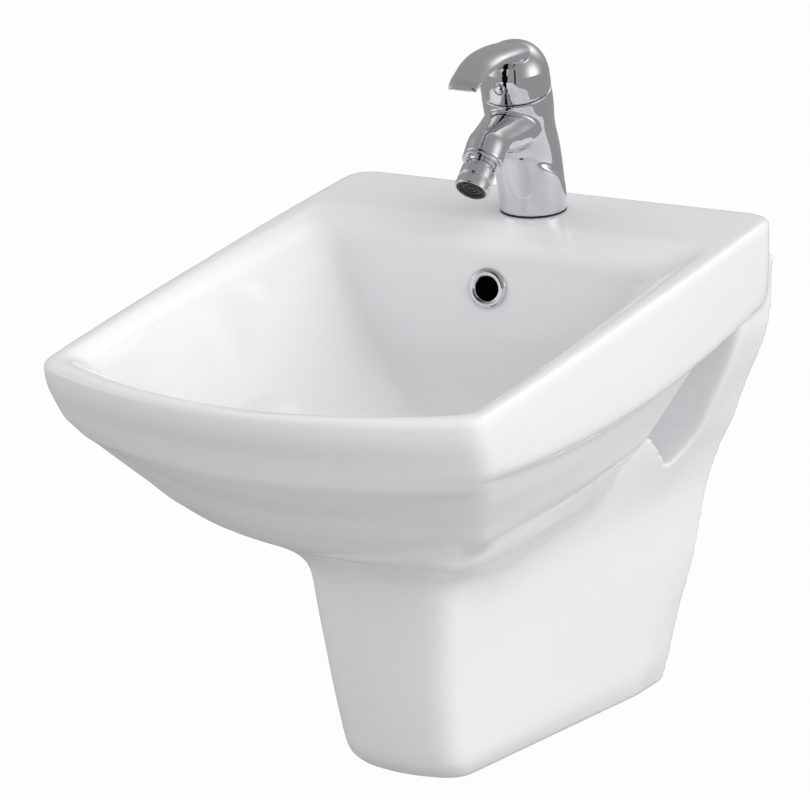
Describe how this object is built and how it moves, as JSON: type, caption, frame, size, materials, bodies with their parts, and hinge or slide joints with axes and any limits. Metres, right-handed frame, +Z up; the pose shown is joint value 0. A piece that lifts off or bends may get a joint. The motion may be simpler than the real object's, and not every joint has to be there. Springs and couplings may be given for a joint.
{
  "type": "wall hung bidet",
  "caption": "Wall hung bidet with a squared bowl, tapering shroud, lever mixer tap with a swivel spray outlet, pop-up waste and bottle trap.",
  "frame": {"origin": "on the wall face, midway between the two fixing studs", "axes": "+X to the right of a person facing the wall, +Y into the wall, +Z up; the user sits on the -Y side"},
  "size_m": [0.3528, 0.5249, 0.5277],
  "materials": {
    "glaze": "gloss",
    "chrome": "polished",
    "brass": "machined",
    "steel": "zinc plated",
    "rubber": "matte",
    "white_plastic": "satin",
    "dark_plastic": "satin"
  },
  "bodies": {
    "fixture": {"ceramic_body": "glaze", "overflow_ring": "chrome", "right_wall_stud": "steel", "right_stud_sleeve": "white_plastic", "right_stud_washer": "steel", "right_stud_nut": "steel", "left_wall_stud": "steel", "left_stud_sleeve": "white_plastic", "left_stud_washer": "steel", "left_stud_nut": "steel", "tap_body": "chrome", "tap_base_gasket": "rubber", "tap_stud": "steel", "tap_clamp_pad": "rubber", "tap_clamp_plate": "steel", "tap_clamp_nut": "brass", "cold_inlet_nipple": "brass", "hot_inlet_nipple": "brass", "cartridge_body": "white_plastic", "cartridge_nut": "brass", "nozzle_collar": "chrome", "waste_top_seal": "rubber", "waste_flange": "chrome", "waste_bottom_seal": "rubber", "waste_back_nut": "brass", "waste_body": "chrome", "pivot_nut": "chrome", "trap_inlet_nut": "chrome", "trap_body": "chrome", "trap_cup": "chrome", "trap_outlet_nut": "chrome", "trap_outlet_pipe": "chrome"},
    "lever_carrier": {"cartridge_carrier": "dark_plastic"},
    "lever": {"cartridge_stem": "steel", "lever_handle": "chrome", "lever_screw": "steel", "index_plug": "dark_plastic"},
    "nozzle_swivel": {"nozzle_seat_ring": "white_plastic"},
    "nozzle": {"nozzle_ball": "chrome", "aerator_housing": "chrome", "aerator_washer": "rubber", "aerator_insert": "dark_plastic"},
    "lift": {"lift_rod": "chrome", "lift_knob": "chrome", "clevis_strap": "steel", "clevis_screw": "brass"},
    "pivot": {"pivot_rod": "steel"},
    "plug": {"waste_plug": "chrome"}
  },
  "joints": [
    {"name": "lever_turn", "type": "hinge", "parent": "fixture", "child": "lever_carrier", "pos_m": [0, -0.0735, 0.19744], "axis": [0, -0.225, 0.9744], "range_deg": [-45, 45]},
    {"name": "lever_tilt", "type": "hinge", "parent": "lever_carrier", "child": "lever", "pos_m": [0, -0.07417, 0.20036], "axis": [-1, 0, 0], "range_deg": [0, 18]},
    {"name": "nozzle_spin", "type": "hinge", "parent": "fixture", "child": "nozzle_swivel", "pos_m": [0, -0.1295, 0.162], "axis": [0, -0.766, -0.6428], "continuous": true},
    {"name": "nozzle_tilt", "type": "hinge", "parent": "nozzle_swivel", "child": "nozzle", "pos_m": [0, -0.1295, 0.162], "axis": [1, 0, 0], "range_deg": [-12, 12]},
    {"name": "lift_slide", "type": "slide", "parent": "fixture", "child": "lift", "axis": [0, 0, 1], "range_m": [0, 0.03]},
    {"name": "pivot_swing", "type": "hinge", "parent": "fixture", "child": "pivot", "pos_m": [0, -0.201, -0.103], "axis": [1, 0, 0], "range_deg": [0, 10.5]},
    {"name": "plug_slide", "type": "slide", "parent": "fixture", "child": "plug", "axis": [0, 0, 1], "range_m": [-0.0044, 0]}
  ],
  "couplings": [
    {"joint": "pivot_swing", "follows": "lift_slide", "rad_per_m": 6.0976},
    {"joint": "plug_slide", "follows": "lift_slide", "ratio": -0.14634}
  ]
}
